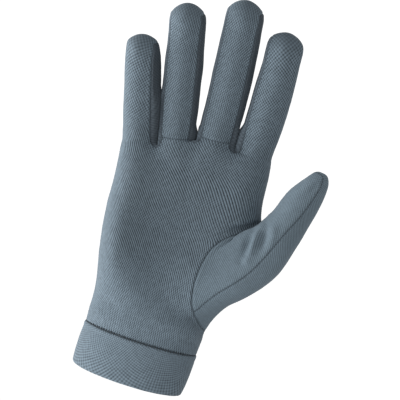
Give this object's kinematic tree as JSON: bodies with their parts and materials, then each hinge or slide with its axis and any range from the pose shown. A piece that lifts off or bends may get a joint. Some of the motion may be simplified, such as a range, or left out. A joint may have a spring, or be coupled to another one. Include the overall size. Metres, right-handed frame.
{
  "type": "glove liner",
  "caption": "Knitted right-hand glove liner as worn, with side strips between the fingers, a set-in thumb and a hemmed cuff.",
  "frame": {"origin": "middle of the wrist opening, at the lower edge of the cuff", "axes": "+Z from the wrist opening to the fingertips, +X towards the thumb side, -Y out of the palm"},
  "size_m": [0.1393, 0.05, 0.2395],
  "materials": {
    "knit": "fine stretch knit, blue-grey, soft sheen",
    "side_knit": "fine stretch knit, darker grey, soft sheen",
    "cuff_knit": "doubled fine knit, blue-grey, soft sheen"
  },
  "bodies": {
    "root": {"palm_panel": "knit", "back_panel": "knit", "middle_finger_front": "knit", "ring_finger_front": "knit", "fourchette_index_middle": "side_knit", "fourchette_middle_ring": "side_knit", "fourchette_ring_little": "side_knit", "thumb_front": "knit", "thumb_back": "knit", "cuff": "cuff_knit"}
  },
  "joints": []
}
